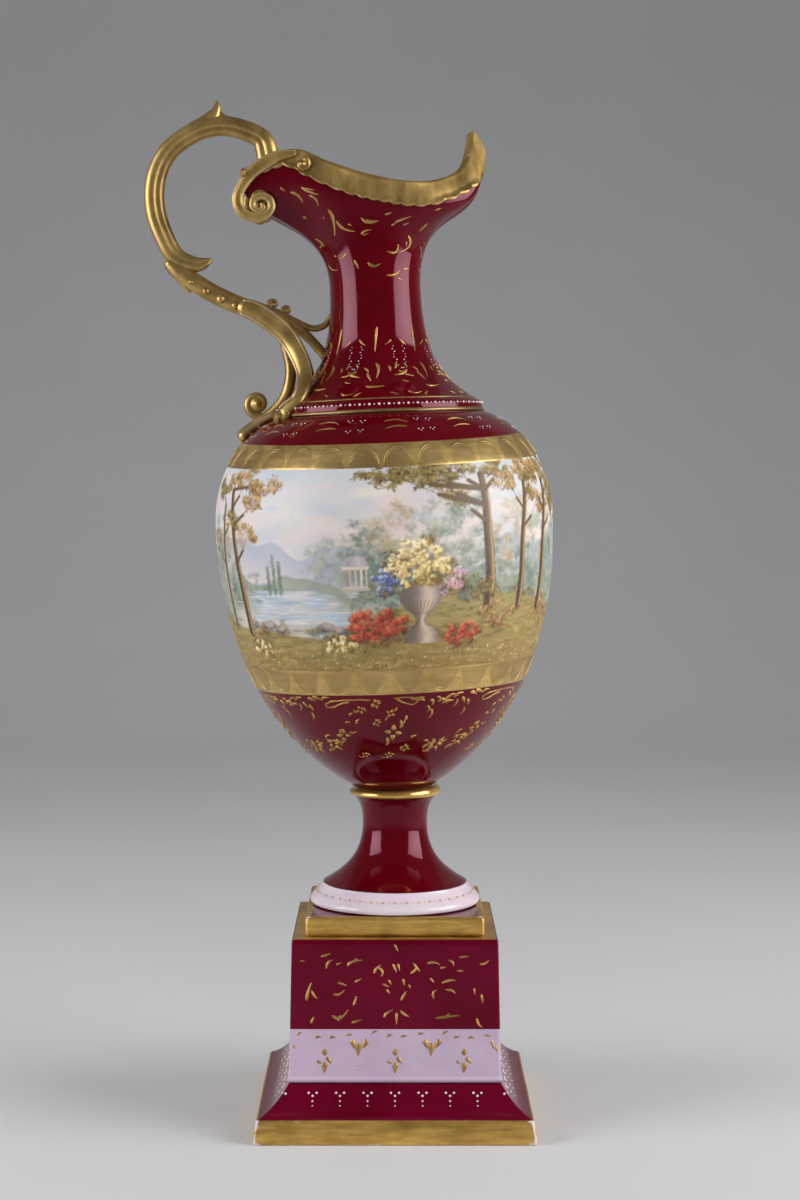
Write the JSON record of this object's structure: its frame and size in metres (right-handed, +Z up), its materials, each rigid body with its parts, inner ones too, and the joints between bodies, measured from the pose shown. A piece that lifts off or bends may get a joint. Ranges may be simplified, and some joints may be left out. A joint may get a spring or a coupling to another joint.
{
  "type": "porcelain ewer on a pedestal",
  "caption": "Porcelain ewer with a scrolled handle and a pouring spout, bolted to a trumpet foot and standing loose on a hollow square pedestal.",
  "frame": {"origin": "middle of the pedestal's flat underside, on the table", "axes": "+Z up, +X towards the spout, -X towards the handle"},
  "size_m": [0.1709, 0.1414, 0.4221],
  "materials": {
    "claret_glaze": "glossy claret glaze over porcelain, with raised gold strokes and white enamel dots",
    "white_glaze": "glossy lilac-white glaze over porcelain",
    "gilding": "satin gilding on porcelain, worn pale along its edges",
    "rod_steel": "plain drawn steel",
    "nut_brass": "machined brass",
    "pad_leather": "matt cut leather"
  },
  "bodies": {
    "pedestal": {"pedestal_base": "claret_glaze", "pedestal_block": "claret_glaze"},
    "ewer": {"plinth_slab": "gilding", "foot_ring": "white_glaze", "foot_stem": "claret_glaze", "collar_ring": "gilding", "belly": "claret_glaze", "neck": "claret_glaze", "mouth": "claret_glaze", "lip_scroll_near": "gilding", "lip_scroll_far": "gilding", "handle_arch": "gilding", "handle_stem": "gilding", "handle_leg_near": "gilding", "handle_leg_far": "gilding", "handle_back_scroll": "gilding", "handle_shoulder_tab": "gilding", "handle_tendril": "gilding", "tie_rod": "rod_steel", "upper_pad": "pad_leather", "upper_washer": "rod_steel", "upper_nut": "nut_brass", "lower_pad": "pad_leather", "lower_washer": "rod_steel", "lower_nut": "nut_brass"}
  },
  "joints": [
    {"name": "ewer_lift", "type": "slide", "parent": "pedestal", "child": "ewer", "axis": [0, 0, 1], "range_m": [0, 0.06]}
  ]
}
